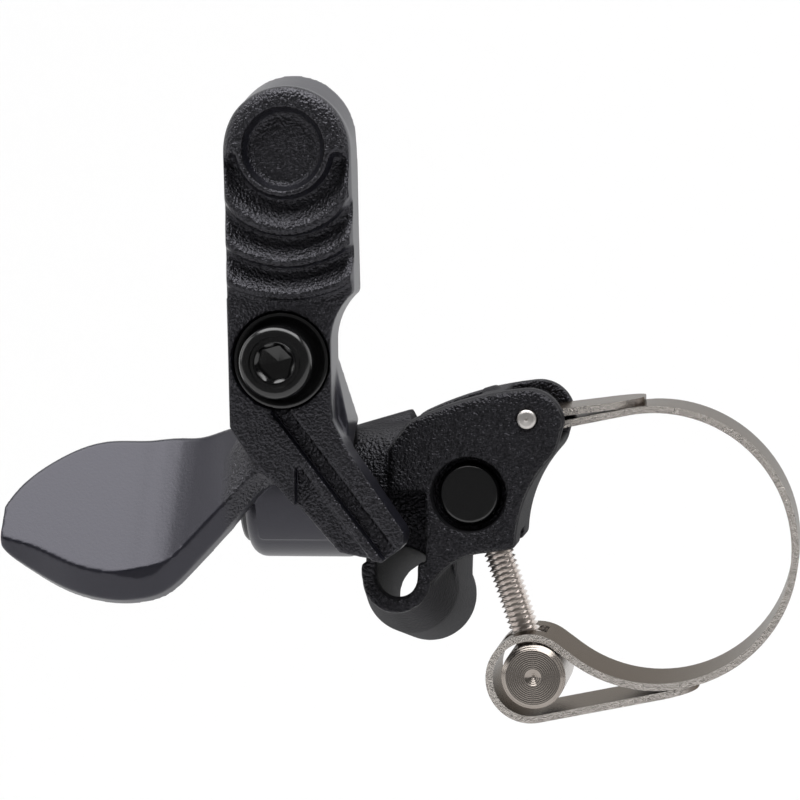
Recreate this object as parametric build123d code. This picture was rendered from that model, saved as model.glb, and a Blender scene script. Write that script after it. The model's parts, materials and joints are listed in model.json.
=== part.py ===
from build123d import *
import math
import os

# A dropper post remote lever for a bicycle, in millimetres.
# X runs to the right of the side view, Y along the handlebar, Z up.
# The origin is the centre of the handlebar, at mid width of the clamp band.

# Handlebar and clamp band
bar_d = 22.2
saddle_gap = 0.1
band_width = 8.0
band_t = 0.6
band_end_r = 3.0
weld_sink = 0.02
hook_leaf_land = 97.0
hook_leaf_end = 94.4
pinch_bend_r = 0.65
tail_land = -78.7
tail_end = -73.5
nut_slack = 0.44
nut_loop_shift_x = -0.29
nut_loop_shift_z = -0.23

# Hinge pin at the top of the band
hinge_x = -10.16
hinge_z = 10.77
hinge_pin_d = 1.6
hinge_pin_out = 0.35
running_gap = 0.03

# Clamp screw with the swivels at its two ends
trunnion_x = -14.97
trunnion_z = 4.58
trunnion_d = 5.0
trunnion_recess_d = 6.15
trunnion_recess_depth = 1.6
trunnion_sink = 0.5
nut_x = -9.96
nut_z = -10.59
nut_d = 5.32
nut_length = 9.4
nut_chamfer = 0.4
screw_d = 2.5
screw_head_d = 4.5
screw_head_h = 2.5
screw_hex = 2.0
screw_hex_depth = 1.3
screw_seat = 1.6
screw_past_nut = 1.9
screw_hole_gap = 0.12
thread_gap = 0.14
screw_swing = 11.0

# Cast body
body_half = 6.2
slot_gap = 0.25
knuckle_r = 2.9
plate_edge_r = 0.6
screw_cavity_width = 5.2
screw_slot_width = 3.4
head_room = 1.05
arm_d = 10.8
arm_root_d = 12.2
arm_taper = 4.2
arm_root_length = 2.6
rib_r = 2.4
rib_rise = 16.0
rib_length = 12.5
arm_end_x = -24.8
pocket_left = -21.9
pocket_right = -18.55
pocket_top = 4.9
pocket_depth = 3.0

# Cable housing stop at the foot of the body
eye_x = -20.93
eye_z = -2.24
eye_r = 1.7
eye_wall_r = 2.85
eye_wall_t = 1.7
stop_drop = 12.4
stop_turn = 3.1
stop_length = 16.6
stop_d = 8.0
socket_d = 5.6

# Pivot: an axle along X that carries the lever on two ball bearings
pivot_z = 4.45
axle_d = 5.0
axle_in_body = 5.2
bearing_od = 9.0
bearing_w = 3.0
ball_share = 0.6
land_share = 0.275
cage_share = 0.18
ball_count = 8
ball_gap = 0.04
cage_rail = 0.2
rim_share = 0.15
shield_t = 0.15
shield_gap = 0.12
hub_wall = 1.2
hub_length = 8.6
hub_edge_r = 1.3
hub_body_gap = 0.4
shoulder_h = 0.4
spacer_w = 1.3
axle_screw_d = 3.0
axle_screw_head_inset = 0.05
axle_screw_head_h = 0.6
axle_screw_length = 7.0
cap_inset = 0.1
cap_t = 0.5
cap_wall = 0.4

# Forged lever
lever_front = -10.3
lever_back = -6.7
pad_x = -28.97
pad_top_z = 32.65
pad_back_tilt = 14.0
pad_r = 5.2
dish_z = 32.83
dish_r = 3.25
rim_r = 4.05
ridge_centre_z = 32.0
ridge_radii = (6.05, 8.6, 11.2)
ridge_h = 1.2
ridge_top_z = 32.4
paddle_t = 3.4
paddle_bevel = 1.35
paddle_bevel_t = 2.0

# Cable pinch bolt
bolt_x = -29.62
bolt_z = 15.82
bolt_d = 3.0
bolt_head_d = 5.9
bolt_head_h = 3.1
bolt_hex = 2.5
bolt_hex_depth = 1.6
washer_d = 7.8
washer_t = 1.3
recess_depth = 1.5
recess_gap = 0.1
groove_w = 1.3
groove_depth = 1.2
groove_start = (-29.65, 11.6)
groove_end = (-20.75, -0.15)
facet_left = -28.55

# Values worked out from the sizes above
bar_r = bar_d / 2
ring_r = bar_r + band_t / 2
loop_r = hinge_pin_d / 2 + running_gap + band_t / 2
nut_loop_r = nut_d / 2 + nut_slack + band_t / 2
nut_loop_x = nut_x + nut_loop_shift_x
nut_loop_z = nut_z + nut_loop_shift_z
arm_lean = math.degrees(math.atan2(nut_x - trunnion_x, trunnion_z - nut_z))
screw_span = math.hypot(nut_x - trunnion_x, trunnion_z - nut_z)
bearing_section = (bearing_od - axle_d) / 2
ball_d = ball_share * bearing_section
bearing_land = land_share * bearing_section
race_rim = rim_share * bearing_section
cage_w = ball_d + 2 * cage_rail
cage_t = cage_share * bearing_section
spacer_d = axle_d + 2 * bearing_land
axle_screw_head_d = spacer_d - 2 * axle_screw_head_inset
shoulder_d = bearing_od - 2 * shoulder_h
cap_d = bearing_od - 2 * cap_inset
hub_d = bearing_od + 2 * hub_wall
hub_right = arm_end_x - hub_body_gap
hub_left = hub_right - hub_length
washer_w = 2 * hub_body_gap
race_right = arm_end_x - washer_w
race_step = race_right - bearing_w - spacer_w
axle_left = race_step - bearing_w + 0.1
axle_right = arm_end_x + axle_in_body


def side(sketch, y_front, y_back):
    """A plate whose outline is drawn in the side view, between two depths."""
    face = Plane(origin=(0, y_back, 0), x_dir=(1, 0, 0), z_dir=(0, -1, 0)) * sketch
    return extrude(face, amount=y_back - y_front, dir=(0, -1, 0))


def pin_y(x, z, radius, y0, y1):
    """A round pin along the handlebar direction."""
    plane = Plane(origin=(x, y0, z), x_dir=(1, 0, 0), z_dir=(0, 1, 0))
    return plane * Cylinder(radius, y1 - y0, align=(Align.CENTER, Align.CENTER, Align.MIN))


def rod_x(x0, x1, radius):
    """A round rod on the lever's pivot axis."""
    plane = Plane(origin=(x0, 0, pivot_z), x_dir=(0, 1, 0), z_dir=(1, 0, 0))
    return plane * Cylinder(radius, x1 - x0, align=(Align.CENTER, Align.CENTER, Align.MIN))


def tube_x(x0, x1, outer, inner):
    return rod_x(x0, x1, outer) - rod_x(x0 - 1, x1 + 1, inner)


def along_screw(radius, u0, u1):
    """A round bar on the clamp screw's axis, measured up from the trunnion's centre."""
    lean = math.radians(arm_lean)
    plane = Plane(
        origin=(trunnion_x, 0, trunnion_z), x_dir=(0, 1, 0), z_dir=(-math.sin(lean), 0, math.cos(lean))
    )
    bar = Cylinder(radius, u1 - u0, align=(Align.CENTER, Align.CENTER, Align.MIN))
    return plane * Pos(0, 0, u0) * bar


def screw_plane(y):
    """The side view turned so that its second axis runs up the clamp screw."""
    lean = math.radians(arm_lean)
    return Plane(
        origin=(trunnion_x, y, trunnion_z), x_dir=(math.cos(lean), 0, math.sin(lean)), z_dir=(0, -1, 0)
    )


def polar(radius, degrees, x=0.0, z=0.0):
    angle = math.radians(degrees)
    return (x + radius * math.cos(angle), z + radius * math.sin(angle))


def arc(radius, start, end, x=0.0, z=0.0):
    """A circular arc by its centre, radius and two angles in degrees."""
    return CenterArc((x, z), radius, start, end - start)


def strip(line):
    """A bent stretch of the band seen edge on."""
    return trace(line, line_width=band_t)


def hinge_leaf():
    """The band's end: under the pin, round it and back onto the ring, where it is spot welded."""
    reach = math.hypot(hinge_x, hinge_z)
    bearing = math.degrees(math.atan2(hinge_z, hinge_x))
    leave = bearing - math.degrees(math.acos((ring_r + loop_r) / reach))
    under_pin = polar(loop_r, leave + 180, hinge_x, hinge_z)
    land = math.radians(hook_leaf_land)
    normal = (math.cos(land), math.sin(land))
    level = ring_r + band_t - weld_sink
    rise = level - (normal[0] * hinge_x + normal[1] * hinge_z)
    back = math.sqrt((loop_r + pinch_bend_r) ** 2 - (rise + pinch_bend_r) ** 2)
    bend_x = hinge_x + normal[0] * (rise + pinch_bend_r) + math.sin(land) * back
    bend_z = hinge_z + normal[1] * (rise + pinch_bend_r) - math.cos(land) * back
    bend_foot = (bend_x - normal[0] * pinch_bend_r, bend_z - normal[1] * pinch_bend_r)
    meet = math.degrees(math.atan2(hinge_z - bend_z, hinge_x - bend_x))
    return leave, (
        strip(arc(level, hook_leaf_end, hook_leaf_land)),
        strip(Line(polar(level, hook_leaf_land), bend_foot)),
        strip(arc(pinch_bend_r, hook_leaf_land - 180, meet, bend_x, bend_z)),
        strip(arc(loop_r, meet + 180, leave + 180, hinge_x, hinge_z)),
        strip(Line(under_pin, polar(ring_r, leave))),
    )


def band_end_corners(x_end, z_mid):
    """What is cut off the two corners of a band end so that it is round seen from above."""
    half = band_width / 2
    square = Pos(x_end - band_end_r / 2 + 0.25, 0, z_mid) * Box(band_end_r + 0.5, band_width + 1, 4)
    inner = Pos(x_end - band_end_r / 2, 0, z_mid) * Box(band_end_r + 0.1, 2 * (half - band_end_r), 5)
    corners = square - inner
    for y in (band_end_r - half, half - band_end_r):
        corners = corners - Pos(x_end - band_end_r, y, z_mid) * Cylinder(band_end_r, 5)
    return corners - pin_y(0, 0, bar_r + band_t - weld_sink / 2, -half - 1, half + 1)


def clamp_band():
    """One strip of stainless steel, bent round pin, bar and nut, with its two ends spot welded."""
    leave, leaf = hinge_leaf()
    reach = math.hypot(nut_loop_x, nut_loop_z)
    bearing = math.degrees(math.atan2(nut_loop_z, nut_loop_x))
    part = bearing + math.degrees(math.acos((ring_r + nut_loop_r) / reach))
    level = ring_r + band_t - weld_sink
    loop_foot = polar(nut_loop_r, tail_land, nut_loop_x, nut_loop_z)
    outline = (
        strip(arc(ring_r, leave, part)),
        strip(Line(polar(ring_r, part), polar(nut_loop_r, part + 180, nut_loop_x, nut_loop_z))),
        strip(arc(nut_loop_r, part + 180, tail_land + 360, nut_loop_x, nut_loop_z)),
        strip(Line(loop_foot, polar(level, tail_land))),
        strip(arc(level, tail_land, tail_end)),
    )
    half = band_width / 2
    band = side(leaf[0], -half, half)
    for piece in leaf[1:] + outline:
        band = band + side(piece, -half, half)
    for angle in (hook_leaf_end, tail_end):
        x_end, z_end = polar(level, angle)
        band = band - band_end_corners(x_end, z_end)
    slot_w = screw_d + 2 * 0.35
    slot = screw_plane(slot_w / 2) * Rectangle(slot_w + 0.5, 4.0)
    window = extrude(slot, amount=slot_w, dir=(0, -1, 0))
    lean = math.radians(arm_lean)
    shift = screw_span - nut_d / 2 - 1.2
    window = Pos(math.sin(lean) * shift, 0, -math.cos(lean) * shift) * window
    return band - window


def band_hinge_pin():
    """Stainless pin across the body, with domed ends."""
    reach = body_half + hinge_pin_out
    pin = pin_y(hinge_x, hinge_z, hinge_pin_d / 2, -reach, reach)
    return fillet(pin.edges().filter_by(GeomType.CIRCLE), hinge_pin_d * 0.2)


def screw_trunnion():
    """Black cross pin that the clamp screw's head pulls on. It turns in the body."""
    reach = body_half - trunnion_sink
    pin = pin_y(trunnion_x, trunnion_z, trunnion_d / 2 - running_gap, -reach, reach)
    pin = chamfer(pin.edges().filter_by(GeomType.CIRCLE), 0.2)
    seat = screw_plane(screw_cavity_width / 2) * Pos(0, screw_seat + 2) * Rectangle(8, 4)
    pin = pin - extrude(seat, amount=screw_cavity_width, dir=(0, -1, 0))
    return pin - along_screw(screw_d / 2 + screw_hole_gap, -4, 4)


def clamp_screw():
    """Socket head cap screw from the trunnion down to the barrel nut."""
    shank = along_screw(screw_d / 2, -screw_span - screw_past_nut, screw_seat + 0.2)
    head = along_screw(screw_head_d / 2, screw_seat, screw_seat + screw_head_h)
    head = chamfer(head.edges().filter_by(GeomType.CIRCLE).sort_by(Axis.Z)[-1], 0.25)
    lean = math.radians(arm_lean)
    top = screw_seat + screw_head_h
    plane = Plane(
        origin=(trunnion_x - math.sin(lean) * top, 0, trunnion_z + math.cos(lean) * top),
        x_dir=(0, 1, 0),
        z_dir=(-math.sin(lean), 0, math.cos(lean)),
    )
    socket = plane * RegularPolygon(screw_hex / 2, 6, major_radius=False)
    return shank + head - extrude(socket, amount=-screw_hex_depth)


def barrel_nut():
    """Turned stainless barrel with a threaded cross hole, loose in the band's loop."""
    half = nut_length / 2
    nut = pin_y(nut_x, nut_z, nut_d / 2, -half, half)
    nut = chamfer(nut.edges().filter_by(GeomType.CIRCLE), nut_chamfer)
    mark = Plane(origin=(nut_x, -half, nut_z), x_dir=(1, 0, 0), z_dir=(0, 1, 0))
    nut = nut - mark * Cone(0.7, 0.1, 0.35, align=(Align.CENTER, Align.CENTER, Align.MIN))
    return nut - along_screw(screw_d / 2 + thread_gap, -screw_span - nut_d, -screw_span + nut_d)


def plate_outline():
    """Side view of the body's block: top edge, knuckle at the hinge, bar saddle, foot."""
    saddle_r = bar_r + saddle_gap
    horn = polar(saddle_r, 134.6)
    heel = polar(saddle_r, 179.4)
    knuckle_top = (hinge_x - 0.3, hinge_z + knuckle_r - 0.45)
    knuckle_right = (hinge_x + knuckle_r + 0.1, hinge_z - 0.3)
    edges = (
        ThreePointArc((-19.9, 10.55), (-14.9, 12.4), knuckle_top),
        ThreePointArc(knuckle_top, (hinge_x + 2.15, hinge_z + 1.6), knuckle_right),
        Line(knuckle_right, horn),
        ThreePointArc(horn, polar(saddle_r, 157), heel),
        Line(heel, (-13.6, -0.25)),
        ThreePointArc((-13.6, -0.25), (-16.3, -1.1), (-18.35, -3.6)),
        Line((-18.35, -3.6), (pocket_left + 0.3, -3.6)),
        Line((pocket_left + 0.3, -3.6), (pocket_left + 0.3, 8.35)),
        Line((pocket_left + 0.3, 8.35), (-19.9, 10.55)),
    )
    face = make_face(Wire(edges))
    for corner, radius in ((knuckle_top, 2.0), (knuckle_right, 1.5), (horn, 2.0), (heel, 0.5)):
        face = fillet(face.vertices().sort_by_distance((*corner, 0))[0], radius)
    for corner, radius in (((-19.9, 10.55), 0.6), ((-13.6, -0.25), 1.0)):
        face = fillet(face.vertices().sort_by_distance((*corner, 0))[0], radius)
    return face


def stop_plane(distance):
    """A plane across the cable housing stop, at a distance behind its front eye."""
    drop = math.radians(stop_drop)
    turn = math.radians(stop_turn)
    direction = Vector(
        math.cos(drop) * math.sin(turn), math.cos(drop) * math.cos(turn), -math.sin(drop)
    )
    origin = Vector(eye_x, -body_half, eye_z) + direction * distance
    return Plane(origin=origin, x_dir=(math.cos(turn), -math.sin(turn), 0), z_dir=direction)


def housing_stop():
    """Round stop for the cable housing, flaring back from the hook, with a fairing up to the body."""
    front = stop_plane(0) * Circle(eye_wall_r)
    waist = stop_plane(7.0) * Circle(stop_d / 2)
    back = stop_plane(stop_length) * Circle(stop_d / 2)
    stop = loft([front, waist]) + loft([waist, back])
    stop = fillet(stop.edges().filter_by(GeomType.CIRCLE).sort_by(Axis.Y)[-1], 0.7)
    fairing = stop_plane(6.0) * Pos(0, -2.1) * Rectangle(stop_d - 0.3, 4.2)
    return stop + extrude(fairing, amount=stop_length - 8.0)


def body_arm():
    """Round arm that holds the axle, with a rib that rises along its top to the block."""
    plane = Plane(origin=(arm_end_x, 0, pivot_z), x_dir=(0, 1, 0), z_dir=(1, 0, 0))
    cone = Cone(
        arm_d / 2, arm_root_d / 2, arm_taper,
        align=(Align.CENTER, Align.CENTER, Align.MIN),
    )
    root = arm_end_x + arm_taper
    arm = plane * cone + rod_x(root - 0.01, root + arm_root_length, arm_root_d / 2)
    rise = math.radians(rib_rise)
    start = (arm_end_x + 0.3, 0, pivot_z + arm_d / 2 - rib_r)
    plane = Plane(origin=start, x_dir=(0, 1, 0), z_dir=(math.cos(rise), 0, math.sin(rise)))
    rib = plane * Cylinder(rib_r, rib_length, align=(Align.CENTER, Align.CENTER, Align.MIN))
    return arm + rib


def screw_cavity():
    """Room inside the body for the clamp screw, its head and the key, open above and below."""
    swing = math.tan(math.radians(screw_swing))
    head = screw_head_d / 2 + head_room
    neck = screw_d / 2 + 0.35
    top = 10.0
    foot = 7.5
    chamber = Polygon(
        (-neck, -0.1), (-head, screw_seat - 0.75), (-head, 5.2), (-head + 0.6, top),
        (head - 0.6, top), (head, 5.2), (head, screw_seat - 0.75), (neck, -0.1), align=None,
    )
    slot = Polygon((-neck, 0), (neck, 0), (neck + foot * swing, -foot), (-neck, -foot), align=None)
    chamber = screw_plane(screw_cavity_width / 2) * chamber
    slot = screw_plane(screw_slot_width / 2) * slot
    chamber = extrude(chamber, amount=screw_cavity_width, dir=(0, -1, 0))
    return chamber + extrude(slot, amount=screw_slot_width, dir=(0, -1, 0))


def clamp_body():
    """Cast aluminium body with the bar saddle, hinge fork, axle arm and housing stop."""
    block = side(plate_outline(), -body_half, body_half)
    rims = [e for e in block.edges() if abs(abs(e.center().Y) - body_half) < 0.01]
    block = fillet([e for e in rims if e.center().Z > 0.3], plate_edge_r)
    hook = side(Pos(eye_x, eye_z) * Circle(eye_wall_r), -body_half, -body_half + eye_wall_t + 1)
    lug_w = eye_wall_r - eye_r + 0.2
    lug = Pos(eye_x - eye_wall_r - 0.1 + lug_w / 2, eye_z + 0.55) * Rectangle(lug_w, 1.1)
    body = block + body_arm() + housing_stop() + hook
    body = body + side(lug, -body_half, -body_half + eye_wall_t)
    knuckle_slot = Pos(hinge_x - loop_r - band_t - 0.4 + 5, hinge_z - 1.9 + 3) * Rectangle(10, 6)
    half = band_width / 2 + slot_gap
    body = body - side(knuckle_slot, -half, half)
    body = body - screw_cavity()
    body = body - pin_y(hinge_x, hinge_z, hinge_pin_d / 2, -body_half - 1, body_half + 1)
    body = body - pin_y(trunnion_x, trunnion_z, trunnion_d / 2, -body_half - 1, body_half + 1)
    for y0 in (-body_half - 1, body_half - trunnion_recess_depth):
        recess = pin_y(trunnion_x, trunnion_z, trunnion_recess_d / 2, y0, y0 + 1 + trunnion_recess_depth)
        body = body - recess
    pocket_w = pocket_right - pocket_left
    pocket_h = pocket_top - (eye_z + 1.1)
    pocket = Pos(pocket_left - 3 + (pocket_w + 3) / 2, pocket_top - pocket_h / 2)
    pocket = pocket * Rectangle(pocket_w + 3, pocket_h)
    pocket = side(pocket, -body_half - 1, -body_half + pocket_depth)
    body = body - (pocket & side(Pos(pocket_left + 5, pocket_top - 4) * Rectangle(10, 10), -8, 0))
    eye_slot = Circle(eye_r) + Pos(0, 1.6) * Rectangle(2 * eye_r, 3.2)
    body = body - side(Pos(eye_x, eye_z) * eye_slot, -body_half - 1, -body_half + pocket_depth)
    socket = stop_plane(eye_wall_t) * Circle(socket_d / 2)
    body = body - extrude(socket, amount=stop_length)
    return body - rod_x(arm_end_x - 1, axle_right, axle_d / 2)


def ball_places(x):
    """Centres of a bearing's balls, evenly round the pivot axis."""
    pitch = (axle_d + bearing_od) / 4
    places = []
    for index in range(ball_count):
        y, dz = polar(pitch, 360 * index / ball_count)
        places.append((x, y, pivot_z + dz))
    return places


def race_groove(x):
    pitch = (axle_d + bearing_od) / 4
    plane = Plane(origin=(x, 0, pivot_z), x_dir=(0, 1, 0), z_dir=(1, 0, 0))
    return plane * Torus(pitch, ball_d / 2 + ball_gap)


def bearing(x0):
    """The pieces of one shielded ball bearing whose left face is at x0."""
    x1 = x0 + bearing_w
    mid = (x0 + x1) / 2
    pitch = (axle_d + bearing_od) / 4
    outer = tube_x(x0, x1, bearing_od / 2, bearing_od / 2 - bearing_land) - race_groove(mid)
    seat_r = bearing_od / 2 - race_rim
    for face in (x0, x1 - shield_t):
        outer = outer - rod_x(face, face + shield_t, seat_r)
    inner = tube_x(x0, x1, axle_d / 2 + bearing_land, axle_d / 2) - race_groove(mid)
    balls = [Pos(*place) * Sphere(ball_d / 2) for place in ball_places(mid)]
    cage = tube_x(mid - cage_w / 2, mid + cage_w / 2, pitch + cage_t / 2, pitch - cage_t / 2)
    for place in ball_places(mid):
        cage = cage - Pos(*place) * Sphere(ball_d / 2 + ball_gap)
    shields = [
        tube_x(face, face + shield_t, seat_r, axle_d / 2 + bearing_land + shield_gap)
        for face in (x0, x1 - shield_t)
    ]
    return {
        "outer_race": outer,
        "inner_race": inner,
        "balls": Compound(children=balls),
        "cage": cage,
        "shields": Compound(children=shields),
    }


def pivot_axle():
    """Steel axle pressed into the body's arm, tapped at its free end."""
    axle = rod_x(axle_left, axle_right, axle_d / 2)
    return axle - rod_x(axle_left - 1, axle_left + axle_screw_length + 0.4, axle_screw_d / 2)


def axle_end_screw():
    """Low head screw that keeps the inner races on the axle."""
    face = race_step - bearing_w
    head = rod_x(face - axle_screw_head_h, face, axle_screw_head_d / 2)
    head = chamfer(head.edges().filter_by(GeomType.CIRCLE).sort_by(Axis.X)[0], 0.25)
    shank = rod_x(face - 0.1, axle_left + axle_screw_length, axle_screw_d / 2)
    plane = Plane(origin=(face - axle_screw_head_h, 0, pivot_z), x_dir=(0, 1, 0), z_dir=(1, 0, 0))
    socket = plane * RegularPolygon(1.0, 6, major_radius=False)
    return head + shank - extrude(socket, amount=1.4)


def bearing_spacer():
    return tube_x(race_step, race_step + spacer_w, spacer_d / 2, axle_d / 2 + running_gap)


def thrust_washer():
    return tube_x(race_right, arm_end_x, spacer_d / 2, axle_d / 2 + running_gap)


def hub_end_cap():
    """Pressed cap that closes the hub's free end."""
    disc = rod_x(hub_left - cap_t, hub_left, cap_d / 2)
    disc = chamfer(disc.edges().filter_by(GeomType.CIRCLE).sort_by(Axis.X)[0], 0.2)
    depth = race_step - bearing_w - hub_left - 0.1
    return disc + tube_x(hub_left - 0.1, hub_left + depth, bearing_od / 2, bearing_od / 2 - cap_wall)


def upright_outline():
    """Front view of the lever's upright: straight sides, round head, scallop at the right."""
    left_top = (pad_x - pad_r, pad_top_z)
    right_top = (pad_x + pad_r, pad_top_z)
    corner = (-23.6, 21.3)
    edges = (
        ThreePointArc(left_top, (pad_x, pad_top_z + pad_r), right_top),
        Line(right_top, corner),
        ThreePointArc(corner, (-25.0, 19.5), (-25.5, 17.4)),
        Line((-25.5, 17.4), (-25.5, 11.4)),
        Line((-25.5, 11.4), (-27.5, 6.5)),
        Line((-27.5, 6.5), (-31.5, 6.8)),
        Line((-31.5, 6.8), (-33.85, 10.4)),
        Line((-33.85, 10.4), left_top),
    )
    return make_face(Wire(edges))


def thumb_pad():
    """Relief of the thumb pad: a round dish with a rolled rim above three curved ridges."""
    low = lever_front + 0.55
    crest = low - ridge_h
    reach = Pos(pad_x, ridge_centre_z) * Circle(ridge_radii[-1])
    pad = side(upright_outline() & reach, crest, low + 0.2)
    plane = Plane(origin=(pad_x, 0, ridge_centre_z), x_dir=(1, 0, 0), z_dir=(0, 0, 1))
    below = side(Pos(pad_x, ridge_top_z - 10) * Rectangle(20, 20), crest - 2, low + 1)
    start = rim_r - 1.2
    for radius in ridge_radii:
        valley = Polyline(
            (start, crest - 1), (start + 0.05, low), (start + 0.9, low),
            (radius - 0.9, crest + 0.3), (radius - 0.35, crest), (radius - 0.3, crest - 1), close=True,
        )
        cut = revolve(plane * make_face(Wire(valley)), Axis((pad_x, 0, ridge_centre_z), (0, 1, 0)))
        pad = pad - (cut & below)
        start = radius
    plane = Plane(origin=(pad_x - 0.15, 0, dish_z), x_dir=(1, 0, 0), z_dir=(0, 0, 1))
    axis = Axis((pad_x - 0.15, 0, dish_z), (0, 1, 0))
    rim = Polyline(
        (0, low + 0.1), (0, crest), (rim_r - 0.3, crest), (rim_r, crest + 0.3), (rim_r, low + 0.1), close=True
    )
    hollow = Polyline(
        (0, crest - 1), (0, low - 0.1), (dish_r, low - 0.1), (dish_r + 0.15, low - 0.5),
        (dish_r + 0.45, crest), (dish_r + 0.5, crest - 1), close=True,
    )
    pad = pad + revolve(plane * make_face(Wire(rim)), axis)
    return pad - revolve(plane * make_face(Wire(hollow)), axis)


def pad_head():
    """Round head of the upright. It leans up towards the back, so its edge shows above the pad."""
    tilt = math.radians(pad_back_tilt)
    low = lever_front + 0.55
    plane = Plane(
        origin=(pad_x, low, pad_top_z - 0.1), x_dir=(1, 0, 0), z_dir=(0, math.cos(tilt), math.sin(tilt))
    )
    slab = side(Pos(pad_x, pad_top_z + 2) * Rectangle(20, 14), low, lever_back + 0.6)
    return plane * Cylinder(pad_r - 0.05, 14) & slab


def cable_arm_outline():
    """Front view of the arm that the cable runs along, from the upright to its rounded tip."""
    edges = (
        Line((-33.0, 12.5), (-25.5, 12.5)),
        Line((-25.5, 12.5), (-25.4, 11.0)),
        Line((-25.4, 11.0), (-24.13, 8.43)),
        Line((-24.13, 8.43), (-20.1, 2.5)),
        ThreePointArc((-20.1, 2.5), (-19.72, 1.3), (-20.35, 0.35)),
        Line((-20.35, 0.35), (-21.6, -0.55)),
        Line((-21.6, -0.55), (-25.2, 0.1)),
        Line((-25.2, 0.1), (-28.2, 3.6)),
        Line((-28.2, 3.6), (-30.5, 6.1)),
        Line((-30.5, 6.1), (-31.5, 6.8)),
        Line((-31.5, 6.8), (-33.0, 9.1)),
        Line((-33.0, 9.1), (-33.0, 12.5)),
    )
    return make_face(Wire(edges))


def groove_bar(width, offset, y0, y1, extra=0.0):
    """A straight bar along the cable groove, offset to its lower left."""
    run_x = groove_end[0] - groove_start[0]
    run_z = groove_end[1] - groove_start[1]
    length = math.hypot(run_x, run_z) + extra
    angle = math.degrees(math.atan2(run_z, run_x))
    centre = ((groove_start[0] + groove_end[0]) / 2, (groove_start[1] + groove_end[1]) / 2)
    bar = Pos(*centre) * Rot(0, 0, angle) * Pos(0, -offset) * Rectangle(length, width)
    return side(bar, y0, y1)


def paddle():
    """Left thumb paddle: sections along X that lean back and widen, with a bevelled near edge."""
    lean = 38.0
    stations = (
        (-29.2, -10.2, 7.7, 0.0, 2.4, -1.5, 1.0),
        (-31.2, -10.25, 7.0, 12.0, 3.5, 0.0, 1.0),
        (-32.6, -10.3, 6.1, 25.0, 4.8, 0.0, 1.0),
        (-34.0, -10.35, 4.66, 34.0, 6.95, 0.0, 1.0),
        (-36.3, -10.4, 2.28, lean, 9.4, 0.0, 1.0),
        (-38.6, -8.5, 2.7, lean, 8.4, -3.5, 1.0),
        (-41.2, -8.5, 2.7, lean, 8.15, -4.85, 1.0),
        (-44.0, -8.5, 2.7, lean, 8.05, -5.0, 1.0),
        (-46.6, -8.5, 2.7, lean, 7.7, -4.4, 1.0),
        (-49.0, -8.5, 2.7, lean, 6.5, -3.3, 1.0),
        (-51.0, -8.5, 2.7, lean, 4.9, -2.4, 0.85),
        (-52.4, -8.5, 2.7, lean, 3.2, -2.0, 0.6),
        (-53.3, -8.5, 2.7, lean, 1.5, -1.6, 0.35),
    )
    sections = []
    for x, y, z, back, far, near, thin in stations:
        a = math.radians(back)
        t = paddle_t * thin
        b = paddle_bevel * thin
        shape = (
            (near, 0), (far - 0.4, 0), (far, -0.5 * thin), (far - 0.3, -t),
            (near - 0.7 * b, -t), (near - b, -paddle_bevel_t * thin),
        )
        corners = [
            (x, y + v * math.sin(a) - n * math.cos(a), z + v * math.cos(a) + n * math.sin(a))
            for v, n in shape
        ]
        sections.append(Face(Wire(Polyline(*corners, close=True).edges())))
    return loft(sections)


def hub_web():
    """Wall that joins the upright to the hub. Its right edge slopes out to overhang the hub's end."""
    right = hub_right + 0.6
    wall = Plane(origin=(right, 0, 0), x_dir=(0, 1, 0), z_dir=(1, 0, 0))
    wall = wall * Polygon((-7.5, 16.9), (-6.0, 16.9), (-1.5, 10.3), (-1.5, 0.5), (-7.5, 0.9), align=None)
    wall = extrude(wall, amount=7.8, dir=(-1, 0, 0))
    slope = Polygon(
        (right + 0.05, 10.3), (right - 1.3, 17.2), (right + 1, 17.2), (right + 1, 10.3), align=None
    )
    return wall - side(slope, -8, 0) - rod_x(hub_right, right + 1, hub_d / 2 + 0.25)


def lever():
    """One forging: upright thumb pad, side paddle, cable arm and the hub behind them."""
    low = lever_front + 0.55
    upright = side(upright_outline(), low, lever_back + 0.6)
    shin = upright_outline() & Pos(pad_x, 15.5) * Rectangle(20, 15.6)
    shin = shin - Pos(pad_x, ridge_centre_z) * Circle(ridge_radii[-1] - 0.4)
    body = upright + pad_head() + thumb_pad() + side(shin, lever_front, low + 0.1)
    body = body + side(cable_arm_outline(), lever_front, lever_back)
    facet = groove_bar(9.0, 1.45 + 4.5, lever_front - 1, lever_front + 1.2, 3.0)
    facet = facet & side(Pos(facet_left + 10, 0) * Rectangle(20, 17), -20, 0)
    body = body - facet
    hub = rod_x(hub_left, hub_right, hub_d / 2)
    hub = fillet(hub.edges().filter_by(GeomType.CIRCLE).sort_by(Axis.X)[0], hub_edge_r)
    body = body + hub + hub_web() + paddle()
    body = body - pin_y(bolt_x, bolt_z, washer_d / 2 + recess_gap, -20, lever_front + recess_depth)
    body = body - groove_bar(groove_w, 0, lever_front - 2, lever_front + groove_depth, 1.2)
    body = body - pin_y(bolt_x, bolt_z, bolt_d / 2, -20, 0)
    cap_seat = race_step - bearing_w
    body = body - rod_x(hub_left - 1, race_step, bearing_od / 2)
    body = body - rod_x(cap_seat, hub_right + 1, shoulder_d / 2)
    return body - rod_x(race_step + spacer_w, hub_right + 1, bearing_od / 2)


def cable_pinch_washer():
    """Dished washer that grips the cable end."""
    floor = lever_front + recess_depth
    washer = pin_y(bolt_x, bolt_z, washer_d / 2, floor - washer_t, floor)
    front = washer.edges().filter_by(GeomType.CIRCLE).sort_by(Axis.Y)[0]
    washer = chamfer(front, 0.45)
    return washer - pin_y(bolt_x, bolt_z, bolt_d / 2 + 0.1, -20, 0)


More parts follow.
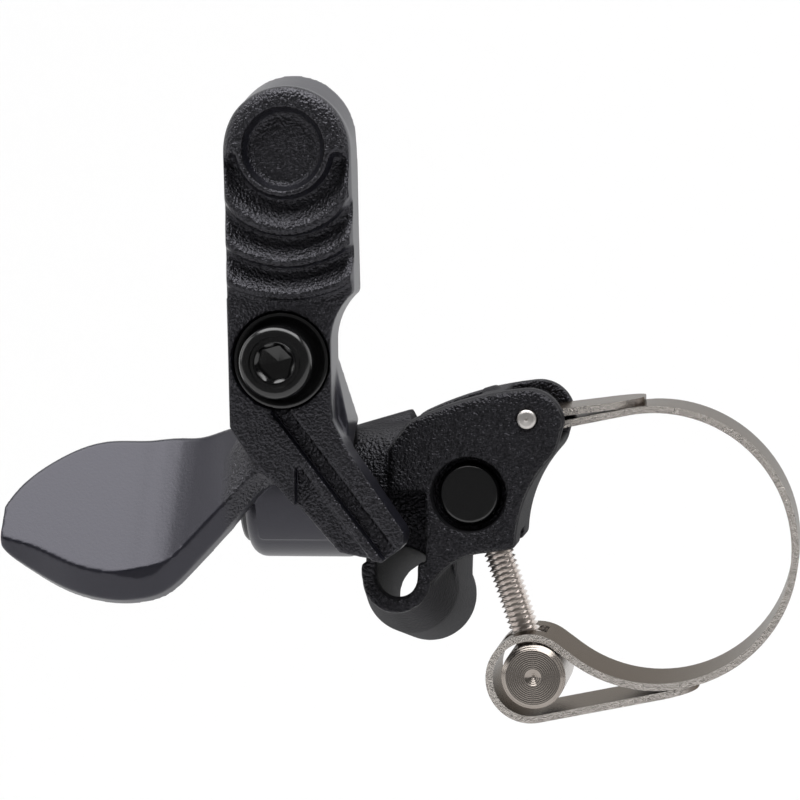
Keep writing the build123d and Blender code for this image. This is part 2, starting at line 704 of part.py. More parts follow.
def cable_pinch_bolt():
    """Socket head screw that clamps the cable under the washer."""
    floor = lever_front + recess_depth - washer_t
    head = pin_y(bolt_x, bolt_z, bolt_head_d / 2, floor - bolt_head_h, floor)
    head = fillet(head.edges().filter_by(GeomType.CIRCLE).sort_by(Axis.Y)[0], 0.45)
    shank = pin_y(bolt_x, bolt_z, bolt_d / 2, floor - 0.1, lever_back + 0.3)
    plane = Plane(origin=(bolt_x, floor - bolt_head_h, bolt_z), x_dir=(1, 0, 0), z_dir=(0, 1, 0))
    socket = plane * RegularPolygon(bolt_hex / 2, 6, major_radius=False)
    return head + shank - extrude(socket, amount=bolt_hex_depth)


parts = {
    "clamp_body": clamp_body(),
    "clamp_band": clamp_band(),
    "band_hinge_pin": band_hinge_pin(),
    "screw_trunnion": screw_trunnion(),
    "clamp_screw": clamp_screw(),
    "barrel_nut": barrel_nut(),
    "lever": lever(),
    "cable_pinch_washer": cable_pinch_washer(),
    "cable_pinch_bolt": cable_pinch_bolt(),
    "hub_end_cap": hub_end_cap(),
    "pivot_axle": pivot_axle(),
    "axle_end_screw": axle_end_screw(),
    "bearing_spacer": bearing_spacer(),
    "thrust_washer": thrust_washer(),
}
for place, left_face in (("body_bearing", race_right - bearing_w), ("cap_bearing", race_step - bearing_w)):
    for name, shape in bearing(left_face).items():
        parts[place + "_" + name] = shape

os.makedirs("parts", exist_ok=True)
for name, shape in parts.items():
    export_step(shape, "parts/" + name + ".step")
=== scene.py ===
import bmesh
import bpy
import json
import math
import numpy as np
from mathutils import Matrix, Vector

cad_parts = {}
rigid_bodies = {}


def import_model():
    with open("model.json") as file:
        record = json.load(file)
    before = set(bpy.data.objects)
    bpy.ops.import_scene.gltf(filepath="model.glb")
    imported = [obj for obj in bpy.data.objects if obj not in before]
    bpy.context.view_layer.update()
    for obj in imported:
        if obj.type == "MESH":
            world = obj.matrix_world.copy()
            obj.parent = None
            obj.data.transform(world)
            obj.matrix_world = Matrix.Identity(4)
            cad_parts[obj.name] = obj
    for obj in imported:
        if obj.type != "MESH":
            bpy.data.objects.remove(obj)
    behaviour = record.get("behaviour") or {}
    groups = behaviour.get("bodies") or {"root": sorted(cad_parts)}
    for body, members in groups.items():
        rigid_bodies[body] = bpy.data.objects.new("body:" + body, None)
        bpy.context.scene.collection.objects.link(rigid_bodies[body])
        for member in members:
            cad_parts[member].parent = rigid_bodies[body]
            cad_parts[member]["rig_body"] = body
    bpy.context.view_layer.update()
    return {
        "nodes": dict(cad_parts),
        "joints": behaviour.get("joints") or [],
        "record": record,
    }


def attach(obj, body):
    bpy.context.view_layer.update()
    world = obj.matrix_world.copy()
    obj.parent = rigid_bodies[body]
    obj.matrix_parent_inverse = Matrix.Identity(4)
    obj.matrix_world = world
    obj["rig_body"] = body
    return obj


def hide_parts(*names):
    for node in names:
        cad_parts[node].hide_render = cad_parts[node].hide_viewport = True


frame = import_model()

nodes = frame["nodes"]
scene = bpy.context.scene
scene.view_settings.view_transform = "Standard"
MM = 0.001


# Camera, as in the photograph: in front of the clamp, a little to its right and above it.
# It has a long lens, and looks slightly down and to the left.
focal_px, photo_px, sensor_mm = 3337.0, 800.0, 36.0
camera_mm = Vector((16.6, -274.5, 33.05))
camera_data = bpy.data.cameras.new("photo_camera")
camera_data.sensor_width = sensor_mm
camera_data.lens = focal_px / photo_px * sensor_mm
camera_data.clip_start = 0.01
camera = bpy.data.objects.new("photo_camera", camera_data)
right = Vector((0.99063, 0.13615, -0.01051))
up = Vector((0.0, 0.07695, 0.99703))
back = right.cross(up)
turn = Matrix((right, up, back)).transposed().to_4x4()
camera.matrix_world = Matrix.Translation(camera_mm * MM) @ turn
scene.collection.objects.link(camera)
scene.camera = camera


# Floor and backdrop: one sweep of white paper, in metres, bent up behind in a quarter circle.
# It glows for the camera and in reflections, and keeps the object's shadow.


def linear(hex_colour):
    """Linear RGBA from an sRGB hex colour."""
    parts = [int(hex_colour[i:i + 2], 16) / 255 for i in (1, 3, 5)]
    return (*[c / 12.92 if c <= 0.04045 else ((c + 0.055) / 1.055) ** 2.4 for c in parts], 1.0)


def add(tree, kind, values=(), **settings):
    """Adds a shader node, sets its properties, then its input sockets."""
    made = tree.nodes.new(kind)
    for key, value in settings.items():
        setattr(made, key, value)
    for key, value in dict(values).items():
        made.inputs[key].default_value = value
    return made


paper_glow = 0.86
sweep_front, sweep_bend, sweep_side = -0.40, 0.45, 1.8
sweep_floor, sweep_r, sweep_top, bend_steps = -0.12, 0.25, 1.2, 8
sweep_path = [(sweep_front, sweep_floor), (sweep_bend, sweep_floor)]
for step in range(1, bend_steps + 1):
    angle = math.pi / 2 * step / bend_steps
    rise = sweep_r - sweep_r * math.cos(angle)
    sweep_path.append((sweep_bend + sweep_r * math.sin(angle), sweep_floor + rise))
sweep_path.append((sweep_bend + sweep_r, sweep_top))
sweep_points = [(side, y, z) for y, z in sweep_path for side in (-sweep_side, sweep_side)]
sweep_faces = [(2 * i, 2 * i + 1, 2 * i + 3, 2 * i + 2) for i in range(len(sweep_path) - 1)]
sweep_data = bpy.data.meshes.new("sweep")
sweep_data.from_pydata(sweep_points, [], sweep_faces)
sweep_data.shade_smooth()
sweep = bpy.data.objects.new("sweep", sweep_data)
scene.collection.objects.link(sweep)
paper = bpy.data.materials.new("white_paper")
paper.use_nodes = True
tree = paper.node_tree
tree.nodes.clear()
diffuse = add(tree, "ShaderNodeBsdfDiffuse", {"Color": linear("#fafafa")})
glow = add(tree, "ShaderNodeEmission", {"Color": (1, 1, 1, 1), "Strength": 1.0})
mix = add(tree, "ShaderNodeMixShader")
path = add(tree, "ShaderNodeLightPath")
camera_or_gloss = add(tree, "ShaderNodeMath", operation="MAXIMUM")
seen = add(tree, "ShaderNodeMath", operation="MAXIMUM")
out = add(tree, "ShaderNodeOutputMaterial")
tree.links.new(path.outputs["Is Camera Ray"], camera_or_gloss.inputs[0])
tree.links.new(path.outputs["Is Glossy Ray"], camera_or_gloss.inputs[1])
tree.links.new(camera_or_gloss.outputs[0], seen.inputs[0])
tree.links.new(path.outputs["Is Transmission Ray"], seen.inputs[1])
glow_share = add(tree, "ShaderNodeMath", {1: paper_glow}, operation="MULTIPLY")
tree.links.new(seen.outputs[0], glow_share.inputs[0])
tree.links.new(glow_share.outputs[0], mix.inputs[0])
tree.links.new(diffuse.outputs[0], mix.inputs[1])
tree.links.new(glow.outputs[0], mix.inputs[2])
tree.links.new(mix.outputs[0], out.inputs["Surface"])
sweep_data.materials.append(paper)

# Studio light: a dim even room that looks white to the camera, a wide softbox overhead, two at the sides.
# Each softbox has its place in metres, its width and height, and its radiance.
room_light = 0.15
world = bpy.data.worlds.new("studio")
world.use_nodes = True
tree = world.node_tree
room = tree.nodes["Background"]
room.inputs["Color"].default_value = (1, 1, 1, 1)
path = add(tree, "ShaderNodeLightPath")
level = add(tree, "ShaderNodeMapRange", {"To Min": room_light, "To Max": 1.0})
tree.links.new(path.outputs["Is Camera Ray"], level.inputs["Value"])
tree.links.new(level.outputs["Result"], room.inputs["Strength"])
scene.world = world
softbox_aim = Vector((-0.02, 0, 0.01))
softboxes = (
    ("overhead", (0.0, -0.10, 0.62), 1.0, 0.6, 4.5),
    ("right", (0.75, 0.15, 0.25), 0.6, 0.6, 0.8),
    ("left", (-0.80, -0.10, 0.30), 0.5, 0.6, 1.6),
)
for name, place, wide, tall, radiance in softboxes:
    lamp_data = bpy.data.lights.new("softbox_" + name, "AREA")
    lamp_data.shape = "RECTANGLE"
    lamp_data.size = wide
    lamp_data.size_y = tall
    lamp_data.energy = radiance * math.pi * wide * tall
    lamp = bpy.data.objects.new("softbox_" + name, lamp_data)
    lamp.location = place
    lamp.rotation_euler = (softbox_aim - Vector(place)).to_track_quat("-Z", "Y").to_euler()
    scene.collection.objects.link(lamp)


# Lever: one aluminium forging, blasted on its front and anodised black, that turns on two ball bearings.
# Its skin's points are moved, in mm, to the forms that the dies leave on the paddle, the pad and the web.


def plain_material(name, colour, metallic, roughness, level=0.5, sheen="#ffffff"):
    """A material of one colour and gloss. Sheen tints a non-metal's reflections, and a metal's at a slant."""
    made = bpy.data.materials.new(name)
    made.use_nodes = True
    shader = made.node_tree.nodes["Principled BSDF"]
    shader.inputs["Base Color"].default_value = linear(colour)
    shader.inputs["Metallic"].default_value = metallic
    shader.inputs["Roughness"].default_value = roughness
    shader.inputs["Specular IOR Level"].default_value = level
    shader.inputs["Specular Tint"].default_value = linear(sheen)
    return made


def grained(name, colour, painted_side_colour, roughness, side_roughness, level,
            grain_mm, height_mm, side_share, grain_from_x, grain_from_y):
    """Anodised aluminium: black and satin, with a fine speckle where it was blasted, and less at the sides.

    The blasted share is the size of the normal's Y, stretched from 0.35 to 0.65, and 0 left of grain_from_x
    or behind grain_from_y, in mm. It blends the two colours and roughnesses, and the grain's height from
    side_share to 1. The side colour is painted light where the share is low: a lighter violet on the lever,
    painted sheen, and a darker black on the body, painted shade. The faint violet tint of all reflections is
    painted sheen as well. The grain is drawn coarser than real blasting leaves it, so that it shows.
    """
    # The faint violet tint of its reflections, #f4f2ff, is painted sheen.
    made = plain_material(name, colour, 0.0, roughness, level, "#f4f2ff")
    tree = made.node_tree
    shader = tree.nodes["Principled BSDF"]
    place = add(tree, "ShaderNodeTexCoord")
    split = add(tree, "ShaderNodeSeparateXYZ")
    where = add(tree, "ShaderNodeSeparateXYZ")
    facing = add(tree, "ShaderNodeMath", operation="ABSOLUTE")
    front = add(tree, "ShaderNodeMapRange", {"From Min": 0.35, "From Max": 0.65})
    inner = add(tree, "ShaderNodeMapRange", {
        "From Min": (grain_from_x - 1) * MM, "From Max": grain_from_x * MM})
    ahead = add(tree, "ShaderNodeMapRange", {
        "From Min": (grain_from_y + 0.4) * MM, "From Max": grain_from_y * MM})
    zone = add(tree, "ShaderNodeMath", operation="MULTIPLY")
    blasted = add(tree, "ShaderNodeMath", operation="MULTIPLY")
    # The side colour goes where the blasted share is low. It is painted light: sheen on the lever, shade on
    # the body.
    tint = add(tree, "ShaderNodeMix", {"A": linear(painted_side_colour), "B": linear(colour)}, data_type="RGBA")
    polish = add(tree, "ShaderNodeMapRange", {"To Min": side_roughness, "To Max": roughness})
    share = add(tree, "ShaderNodeMapRange", {"To Min": side_share, "To Max": 1.0})
    grain = add(tree, "ShaderNodeTexNoise", {"Scale": 1 / (grain_mm * MM), "Detail": 1.5, "Roughness": 0.5})
    height = add(tree, "ShaderNodeMath", operation="MULTIPLY")
    bump = add(tree, "ShaderNodeBump", {"Strength": 1.0, "Distance": height_mm * MM})
    tree.links.new(place.outputs["Normal"], split.inputs[0])
    tree.links.new(place.outputs["Object"], where.inputs[0])
    tree.links.new(split.outputs["Y"], facing.inputs[0])
    tree.links.new(facing.outputs[0], front.inputs["Value"])
    tree.links.new(where.outputs["X"], inner.inputs["Value"])
    tree.links.new(front.outputs["Result"], blasted.inputs[0])
    tree.links.new(where.outputs["Y"], ahead.inputs["Value"])
    tree.links.new(inner.outputs["Result"], zone.inputs[0])
    tree.links.new(ahead.outputs["Result"], zone.inputs[1])
    tree.links.new(zone.outputs[0], blasted.inputs[1])
    tree.links.new(blasted.outputs[0], tint.inputs[0])
    tree.links.new(blasted.outputs[0], polish.inputs["Value"])
    tree.links.new(blasted.outputs[0], share.inputs["Value"])
    tree.links.new(tint.outputs[2], shader.inputs["Base Color"])
    tree.links.new(polish.outputs["Result"], shader.inputs["Roughness"])
    tree.links.new(place.outputs["Object"], grain.inputs["Vector"])
    tree.links.new(grain.outputs["Fac"], height.inputs[0])
    tree.links.new(share.outputs["Result"], height.inputs[1])
    tree.links.new(height.outputs[0], bump.inputs["Height"])
    tree.links.new(bump.outputs["Normal"], shader.inputs["Normal"])
    return made


def cast_skin(cad_name, name, voxel_mm, rounds):
    """A closed skin over a CAD node with its edges worn round, as a casting or forging has them.

    The node's mesh is remeshed in mm on a grid of voxel_mm. Each point then moves half way to the mean of
    its neighbours, rounds times. The skin stands for the node and rides on the node's body.
    """
    work = bmesh.new()
    work.from_mesh(nodes[cad_name].data)
    bmesh.ops.remove_doubles(work, verts=work.verts, dist=0.0005 * MM)
    mesh = bpy.data.meshes.new(name)
    work.to_mesh(mesh)
    work.free()
    mesh.transform(Matrix.Scale(1 / MM, 4))
    piece = bpy.data.objects.new(name, mesh)
    scene.collection.objects.link(piece)
    remesh = piece.modifiers.new("skin", "REMESH")
    remesh.mode = "VOXEL"
    remesh.voxel_size = voxel_mm
    remesh.use_smooth_shade = True
    soften = piece.modifiers.new("soften", "SMOOTH")
    soften.factor = 0.5
    soften.iterations = rounds
    made = bpy.data.meshes.new_from_object(piece.evaluated_get(bpy.context.evaluated_depsgraph_get()))
    piece.modifiers.clear()
    made.transform(Matrix.Scale(MM, 4))
    made.materials.clear()
    piece.data = made
    piece.data.name = name
    made.shade_smooth()
    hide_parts(cad_name)
    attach(piece, nodes[cad_name]["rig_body"])
    return piece


def eased(value, start, end):
    """Smooth step from 0 at start to 1 at end."""
    share = np.clip((value - start) / (end - start), 0, 1)
    return share * share * (3 - 2 * share)


lever = cast_skin("lever", "lever_forging", voxel_mm=0.18, rounds=4)
# Its sides, top and paddle get a lighter violet black, #17171e: painted sheen.
lever.data.materials.append(grained(
    "anodised_forging", "#0f0f10", "#17171e", roughness=0.31, side_roughness=0.34, level=0.6,
    grain_mm=0.22, height_mm=0.17, side_share=0.06, grain_from_x=-33.8, grain_from_y=-8.0))
points = np.empty(len(lever.data.vertices) * 3)
lever.data.vertices.foreach_get("co", points)
points = points.reshape(-1, 3) / MM
x, y, z = points.T
# Paddle: its face turns to the upright gradually, by these shifts along Y over X, smoothed over 2 mm.
paddle_right, paddle_front_y = -31, -11.6
turn_x = (-60, -45.5, -43.25, -42, -40.75, -39.5, -38.25, -37, -35.75, -34.5, -33.3, -15)
turn_y = (0, 0, -0.05, -0.14, -0.44, -0.84, -0.96, -0.69, -0.34, -0.10, 0, 0)
fine_x = np.linspace(-50, -30, 401)
window = np.hanning(41)
fine_y = np.convolve(np.interp(fine_x, turn_x, turn_y), window / window.sum(), "same")
shifted = np.maximum(y + np.interp(x, fine_x, fine_y), paddle_front_y)
y[:] = np.where(x < paddle_right, shifted, y)
# Thumb pad: a dish, and below it three ridges about one centre. Each rises slowly outwards, as half a
# cosine wave, is rounded past its crest and drops steeply to the floor, or the last one to the shin.
pad_x, pad_r, pad_top_z, pad_foot_z, pad_left, pad_back_y = -28.97, 5.2, 32.65, 20.6, -35, -9.0
crest_y, floor_y, shin_y = -10.95, -9.75, -10.3
ridge_z, ridge_radii, ridge_gap, drop_in, drop_out = 32.0, (6.05, 8.6, 11.2), 0.25, 0.02, 0.22
crest_share, rise_power, nose_share = 0.86, 1.35, 0.14
dish_left, dish_up, dish_r, rim_foot_r = 0.15, 0.83, 2.7, 4.05
across = x - pad_x
down = ridge_z - z
reach = np.hypot(across, down)
dish_reach = np.hypot(across + dish_left, z - (ridge_z + dish_up))
swing = np.arctan2(across, down)
half_chord = np.sqrt(rim_foot_r ** 2 - (dish_up * np.sin(swing)) ** 2)
inner_edge = half_chord - dish_up * np.cos(swing)
scallop = np.full(len(points), floor_y)
for ridge_r in ridge_radii:
    part = np.clip((reach - inner_edge) / (ridge_r - inner_edge), 0, 1)
    rise = 0.5 - 0.5 * np.cos(math.pi * np.clip(part / crest_share, 0, 1) ** rise_power)
    nose = 1 - nose_share * eased(part, crest_share, 1)
    drop = eased(reach, ridge_r - drop_in, ridge_r + drop_out)
    after_y = shin_y if ridge_r == ridge_radii[-1] else floor_y
    wave = floor_y + (crest_y - floor_y) * rise * nose
    wave = wave * (1 - drop) + after_y * drop
    scallop = np.where(reach > inner_edge, wave, scallop)
    inner_edge = np.full(len(points), ridge_r + ridge_gap)
# The dish has a rolled rim. Above the ridges the pad falls off outside it, by the square of the distance.
rim_in_r, rim_top_r, rim_out_r, rim_end_r = 3.5, 3.6, 3.72, 4.15
fall_width, fall_depth, head_foot_z, ridges_top_z = 1.6, 0.5, 32.7, 31.9
rim_in = eased(dish_reach, dish_r, rim_in_r)
rim_out = eased(dish_reach, rim_out_r, rim_end_r)
rim = floor_y + (crest_y - floor_y) * rim_in * (1 - rim_out)
fall = np.clip((dish_reach - rim_top_r) / fall_width, 0, 1)
head = np.where(dish_reach > rim_top_r, crest_y + fall_depth * fall ** 2, rim)
below = eased(z, head_foot_z, ridges_top_z)
relief = head * (1 - below) + np.minimum(scallop, rim) * below
# All round, the pad's edge is rounded as a quarter ellipse. Nothing is raised right at the edge.
edge_width, edge_depth, raise_gap = 0.6, 0.35, 0.2
side_gap = pad_r - np.where(z > pad_top_z, np.hypot(across, z - pad_top_z), np.abs(across))
relief += edge_depth * (1 - np.sqrt(1 - np.clip(1 - side_gap / edge_width, 0, 1) ** 2))
relief = np.maximum(relief, crest_y)
on_pad = (reach < ridge_radii[-1] + 0.15) | (z > ridge_z)
on_pad &= (z > pad_foot_z) & (y < pad_back_y) & (x > pad_left)
raised = on_pad & (side_gap > raise_gap) & (y > relief)
lowered = on_pad & (y < relief)
y[:] = np.where(raised | lowered, relief, y)
# Web: its foot is rounded towards the hub, as a quarter circle in Y and Z.
web_r, web_z, web_drop = 7.5, 6, 7.4
web_left, web_right, web_front, web_back = -33.6, -24, -7.8, -4
web_y = -np.sqrt(web_r ** 2 - np.clip(web_z - z, 0, web_drop) ** 2)
on_web = (x > web_left) & (x < web_right) & (y > web_front) & (y < web_back) & (z < web_z)
y[:] = np.where(on_web, np.maximum(y, web_y), y)
# The pad's sides have a forging draft: ahead of the floor they lean in by a fifth.
draft, draft_depth, draft_foot_z, draft_left, side_start = 0.2, 1.2, 20.8, -36, 4.2
ahead = np.clip(floor_y - y, 0, draft_depth) * (z > draft_foot_z)
near_side = np.clip(np.abs(across) - side_start, 0, 1)
x -= np.sign(across) * draft * ahead * near_side * (x > draft_left)
lever.data.vertices.foreach_set("co", (points * MM).ravel())

# Body: one aluminium casting, blasted more coarsely than the lever and anodised black, with dull sides.
# The grain's bounds lie outside the body, so that no part of it is left out.
body = cast_skin("clamp_body", "body_casting", voxel_mm=0.165, rounds=8)
# Its sides get a black a shade darker than its front, #0a0a0b: painted shade.
body.data.materials.append(grained(
    "anodised_casting", "#0d0d0e", "#0a0a0b", roughness=0.33, side_roughness=0.75, level=0.34,
    grain_mm=0.24, height_mm=0.25, side_share=0.3, grain_from_x=-60.0, grain_from_y=20.0))


# Clamp screw: a turned stainless M2.5 socket screw that pulls the band shut, with its head up in the body.
# Its lengths run up along the screw from the centre of the trunnion.


def turned(name, rings, origin_mm, axis, segments=64):
    """A closed round piece: rings of (distance along the axis, radius or radius by angle), in mm.

    A point is the origin, plus the axis times its ring's distance, plus its radius times the direction
    of its angle. A point on the axis closes each end.
    """
    axis = Vector(axis).normalized()
    side = axis.orthogonal().normalized()
    other = axis.cross(side)
    angles = np.arange(segments) * 2 * math.pi / segments
    around = np.outer(np.cos(angles), side) + np.outer(np.sin(angles), other)
    points = []
    for along, radius in rings:
        radii = radius(angles) if callable(radius) else np.full(segments, float(radius))
        points.append(np.array(origin_mm) + np.array(axis) * along + around * radii[:, None])
    ends = [np.array([origin_mm]) + np.array([axis]) * rings[row][0] for row in (0, -1)]
    grid = np.concatenate(points + ends) * MM
    step = np.arange(segments)
    following = (step + 1) % segments
    low = np.arange(len(rings) - 1)[:, None] * segments
    quads = np.stack([low + step, low + following, low + segments + following, low + segments + step], -1)
    last_ring = (len(rings) - 1) * segments
    centre = np.full(segments, len(rings) * segments)
    fans = np.stack([centre, following, step, centre + 1, last_ring + step, last_ring + following], -1)
    faces = quads.reshape(-1, 4).tolist() + fans.reshape(-1, 3).tolist()
    mesh = bpy.data.meshes.new(name)
    mesh.from_pydata(grid.tolist(), [], faces)
    mesh.shade_smooth()
    mesh.set_sharp_from_angle(angle=math.radians(35))
    piece = bpy.data.objects.new(name, mesh)
    scene.collection.objects.link(piece)
    return piece


def hexagon(across_flats):
    """Radius by angle of a hexagon socket: half its width over the cosine of the angle from the flat."""
    return lambda angles: across_flats / 2 / np.cos((angles + math.pi / 6) % (math.pi / 3) - math.pi / 6)


joints = {joint["name"]: joint for joint in frame["joints"]}
screw_joint = joints["screw_turn"]
screw_foot, screw_r, shank_start = -17.87, 1.25, 0.9
pitch, thread_depth, steps_a_turn, thread_steps = 0.45, 0.26, 12, 500
flank, crest_flat, lead_in_mm, foot_share = 1.25, 0.12, 0.5, 0.75
head_seat, head_top, head_r, socket_af, socket_depth = 1.6, 4.1, 2.25, 2.0, 1.3


def thread_ring(along):
    """Radius of the thread at a distance along the screw, by angle.

    The groove is a triangle wave with its crest and its root cut flat. The foot narrows to three quarters.
    """
    def radius(angles):
        phase = (along / pitch - angles / (2 * math.pi)) % 1.0
        groove = np.clip(flank * (1 - np.abs(2 * phase - 1)) - crest_flat, 0, 1)
        lead_in = min(1.0, (along - screw_foot) / lead_in_mm)
        return (screw_r - thread_depth * groove) * (foot_share + (1 - foot_share) * lead_in)
    return radius


turns = [screw_foot + pitch / steps_a_turn * step for step in range(thread_steps)]
rings = [(along, thread_ring(along)) for along in turns]
rings += [(shank_start, screw_r), (head_seat, screw_r), (head_seat, head_r), (head_top - 0.25, head_r),
          (head_top - 0.07, head_r - 0.07), (head_top, head_r - 0.25), (head_top, 1.3),
          (head_top - 0.12, hexagon(socket_af)), (head_top - socket_depth, hexagon(socket_af)),
          (head_top - socket_depth - 0.2, 0.05)]
screw_place = [v / MM for v in screw_joint["pos_m"]]
screw = turned("clamp_screw_thread", rings, screw_place, screw_joint["axis"], segments=40)
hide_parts("clamp_screw")
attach(screw, "screw")

# Screw trunnion: a steel pin across the body, oxidised to a gloss black, that the screw's head seats on.
# The edges of its round ends are worn.
trunnion = cast_skin("screw_trunnion", "trunnion_worn", voxel_mm=0.09, rounds=6)

# Pinch bolt: a gloss black steel socket screw that clamps the cable on the lever. Its head has a round edge
# and a shallow groove round the hexagon. Its lengths run towards the front, along -Y.
bolt_x, bolt_z, bolt_end, bolt_r = -29.62, 15.82, 6.4, 1.5
bolt_floor, bolt_face, bolt_head_r, bolt_round = 10.1, 13.2, 2.95, 0.6
hexagon_af, hexagon_depth = 2.5, 1.6
rings = [(bolt_end, bolt_r), (bolt_floor, bolt_r), (bolt_floor, bolt_head_r)]
for step in range(7):
    angle = math.pi / 2 * step / 6
    along = bolt_face - bolt_round + bolt_round * math.sin(angle)
    rings.append((along, bolt_head_r - bolt_round + bolt_round * math.cos(angle)))
rings += [(bolt_face, 2.1), (bolt_face - 0.14, 2.0), (bolt_face - 0.14, 1.75), (bolt_face - 0.04, 1.65),
          (bolt_face - 0.04, 1.6), (bolt_face - 0.2, hexagon(hexagon_af + 0.25)),
          (bolt_face - 0.36, hexagon(hexagon_af)), (bolt_face - hexagon_depth, hexagon(hexagon_af)),
          (bolt_face - hexagon_depth - 0.35, 0.05)]
bolt = turned("pinch_bolt_head", rings, (bolt_x, 0, bolt_z), (0, -1, 0))
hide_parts("cable_pinch_bolt")
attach(bolt, "lever")

# Pinch washer: gloss black steel, dished inside a raised rim, under the bolt's head in the lever's recess.
# Its lengths run towards the front, along -Y.
washer_r, washer_bore, washer_land, washer_back, washer_face = 3.9, 1.6, 2.85, 8.8, 10.1
rings = [(washer_back, washer_bore), (washer_back, washer_r), (washer_face - 0.2, washer_r),
         (washer_face - 0.05, washer_r - 0.05), (washer_face, washer_r - 0.15),
         (washer_face, washer_r - 0.3), (washer_face - 0.3, washer_r - 0.6),
         (washer_face - 0.4, washer_r - 0.85), (washer_face, washer_land), (washer_face, washer_bore),
         (washer_back, washer_bore)]
washer = turned("pinch_washer_dish", rings, (bolt_x, 0, bolt_z), (0, -1, 0), segments=96)
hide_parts("cable_pinch_washer")
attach(washer, "lever")

# Hinge pin: turned stainless, through the band's upper loop and the body's knuckles. Its ends are alike,
# flat with a round edge, and have a small dent with a raised rim left at the centre.
pin_place = [v / MM for v in joints["band_hinge"]["pos_m"]]
pin_end = [(6.44, 0.05), (6.55, 0.13), (6.52, 0.22), (6.52, 0.5), (6.48, 0.66), (6.36, 0.77), (6.1, 0.8)]
rings = [(-along, radius) for along, radius in pin_end] + pin_end[::-1]
pin = turned("hinge_pin_domed", rings, pin_place, (0, 1, 0), segments=32)
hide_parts("band_hinge_pin")
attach(pin, "body")


# Band, nut, screws, cap and pivot: CAD pieces keep their mesh, and the made ones above stand in for theirs.
# All get the finish of their material slot, but the pin and the nut have one of their own.


def stainless(name, colour, cut_colour, roughness):
    """Stainless strip: a dull mirror on its rolled faces, brighter and rough on the edges where it was cut.

    The cut share is the size of the normal's Y, stretched from 0.6 to 0.9. It blends the colours and gives
    the marks their height. They are drawn coarser than a real cut's, so that they show.
    """
    mark_mm, mark_height_mm = 0.35, 0.16
    made = plain_material(name, colour, 1.0, roughness, sheen="#a6a19b")
    tree = made.node_tree
    shader = tree.nodes["Principled BSDF"]
    place = add(tree, "ShaderNodeTexCoord")
    split = add(tree, "ShaderNodeSeparateXYZ")
    facing = add(tree, "ShaderNodeMath", operation="ABSOLUTE")
    edge = add(tree, "ShaderNodeMapRange", {"From Min": 0.6, "From Max": 0.9})
    worked = add(tree, "ShaderNodeTexNoise", {"Scale": 1 / (mark_mm * MM), "Detail": 4.0, "Roughness": 0.7})
    height = add(tree, "ShaderNodeMath", operation="MULTIPLY")
    bump = add(tree, "ShaderNodeBump", {"Strength": 1.0, "Distance": mark_height_mm * MM})
    geometry = add(tree, "ShaderNodeNewGeometry")
    tint = add(tree, "ShaderNodeMix", {"A": linear(colour), "B": linear(cut_colour)}, data_type="RGBA")
    tree.links.new(geometry.outputs["True Normal"], split.inputs[0])
    tree.links.new(split.outputs["Y"], facing.inputs[0])
    tree.links.new(facing.outputs[0], edge.inputs["Value"])
    tree.links.new(edge.outputs["Result"], tint.inputs[0])
    tree.links.new(tint.outputs[2], shader.inputs["Base Color"])
    tree.links.new(place.outputs["Object"], worked.inputs["Vector"])
    tree.links.new(worked.outputs["Fac"], height.inputs[0])
    tree.links.new(edge.outputs["Result"], height.inputs[1])
    tree.links.new(height.outputs[0], bump.inputs["Height"])
    tree.links.new(bump.outputs["Normal"], shader.inputs["Normal"])
    return made


def lathe_finish(name, colour, roughness, centre_mm, ring_mm, height_mm):
    """Stainless faced on a lathe: a soft gleam broken by fine rings about an axis along Y.

    The rings' height is the sine of the distance from that axis, with a wave each ring_mm.
    """
    made = plain_material(name, colour, 1.0, roughness)
    tree = made.node_tree
    shader = tree.nodes["Principled BSDF"]
    place = add(tree, "ShaderNodeTexCoord")
    centre = (centre_mm[0] * MM, 0, centre_mm[1] * MM)
    shift = add(tree, "ShaderNodeVectorMath", {1: centre}, operation="SUBTRACT")
    flat = add(tree, "ShaderNodeVectorMath", {1: (1, 0, 1)}, operation="MULTIPLY")
    reach = add(tree, "ShaderNodeVectorMath", operation="LENGTH")
    turns = add(tree, "ShaderNodeMath", {1: 2 * math.pi / (ring_mm * MM)}, operation="MULTIPLY")
    wave = add(tree, "ShaderNodeMath", operation="SINE")
    bump = add(tree, "ShaderNodeBump", {"Strength": 1.0, "Distance": height_mm * MM})
    tree.links.new(place.outputs["Object"], shift.inputs[0])
    tree.links.new(shift.outputs[0], flat.inputs[0])
    tree.links.new(flat.outputs[0], reach.inputs[0])
    tree.links.new(reach.outputs["Value"], turns.inputs[0])
    tree.links.new(turns.outputs[0], wave.inputs[0])
    tree.links.new(wave.outputs[0], bump.inputs["Height"])
    tree.links.new(bump.outputs["Normal"], shader.inputs["Normal"])
    return made


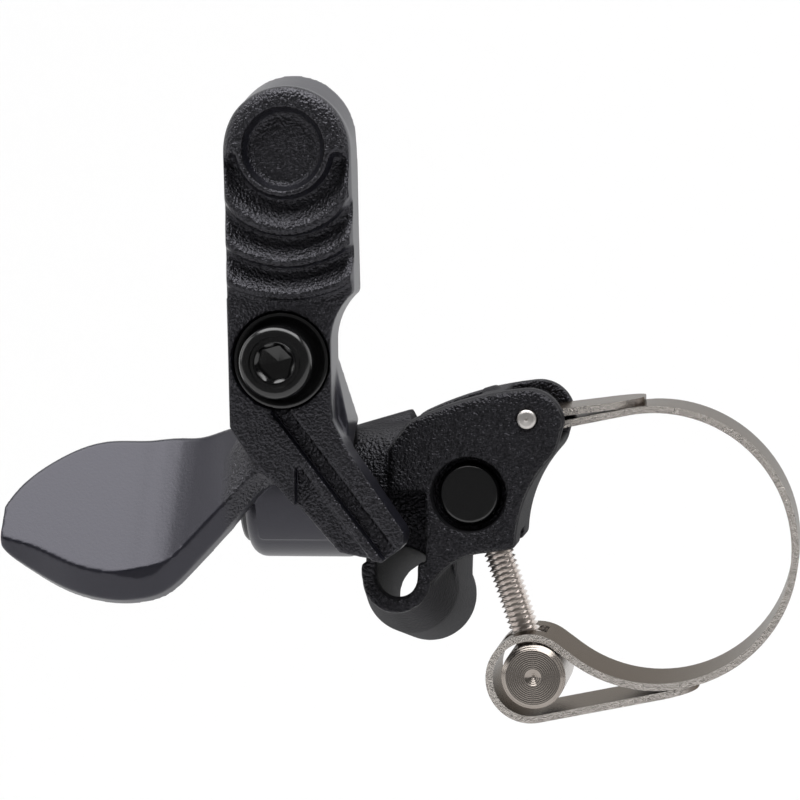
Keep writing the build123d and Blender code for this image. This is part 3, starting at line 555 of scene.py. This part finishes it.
nut_place = [v / MM for v in joints["nut_swivel"]["pos_m"]]
finishes = {
    # Rolled strip: a warm grey dull mirror, with lighter cut edges.
    "band_stainless": stainless("rolled_stainless", "#7a736e", "#c6c0ba", roughness=0.22),
    # Turned stainless: light and a little warm, with soft highlights.
    "turned_stainless": plain_material("turned_stainless", "#e4ddd8", 1.0, 0.3),
    # Oxidised steel: black, with clear highlights.
    "black_oxide_steel": plain_material("gloss_black_oxide", "#09090a", 0.0, 0.2, 0.7),
    # Aluminium, anodised without blasting: smooth, and a lighter black than the lever.
    "hub_cap_black": plain_material("smooth_black_anodise", "#242427", 0.0, 0.35),
    # Ground steel: grey, with soft highlights.
    "axle_steel": plain_material("ground_steel", "#a0a0a0", 1.0, 0.3),
    # Polished races and balls: nearly mirrors.
    "bearing_steel": plain_material("bearing_steel", "#c8c8c8", 1.0, 0.12),
    # Pressed cage: a yellowish grey, satin.
    "bearing_cage": plain_material("pressed_steel", "#aaa69e", 1.0, 0.35),
    # Rubber seal: black and matt.
    "bearing_shield": plain_material("black_seal", "#17171a", 0.0, 0.5),
    # Turned aluminium, bare: light grey, satin.
    "spacer_alloy": plain_material("turned_aluminium", "#c4c4c4", 1.0, 0.35),
    # Natural acetal: milky white, satin.
    "thrust_polymer": plain_material("natural_acetal", "#d8d8cf", 0.0, 0.45),
}
# Satin stainless, for the pin's ends: lighter and duller than the band.
pin_finish = plain_material("satin_stainless", "#d2ceca", 1.0, 0.45)
nut_finish = lathe_finish(
    "faced_stainless", "#a39b94", roughness=0.26, centre_mm=(nut_place[0], nut_place[2]),
    ring_mm=0.16, height_mm=0.0024)
stand_ins = {
    "screw_trunnion": trunnion, "clamp_screw": screw, "cable_pinch_bolt": bolt,
    "cable_pinch_washer": washer, "band_hinge_pin": pin,
}
own_finishes = {"barrel_nut": nut_finish, "band_hinge_pin": pin_finish}
for entry in frame["record"]["subparts"]:
    if entry["node"] in ("lever", "clamp_body"):
        continue
    piece = stand_ins.get(entry["node"], nodes[entry["node"]])
    piece.data.materials.clear()
    piece.data.materials.append(own_finishes.get(entry["node"], finishes[entry["material_slot"]]))
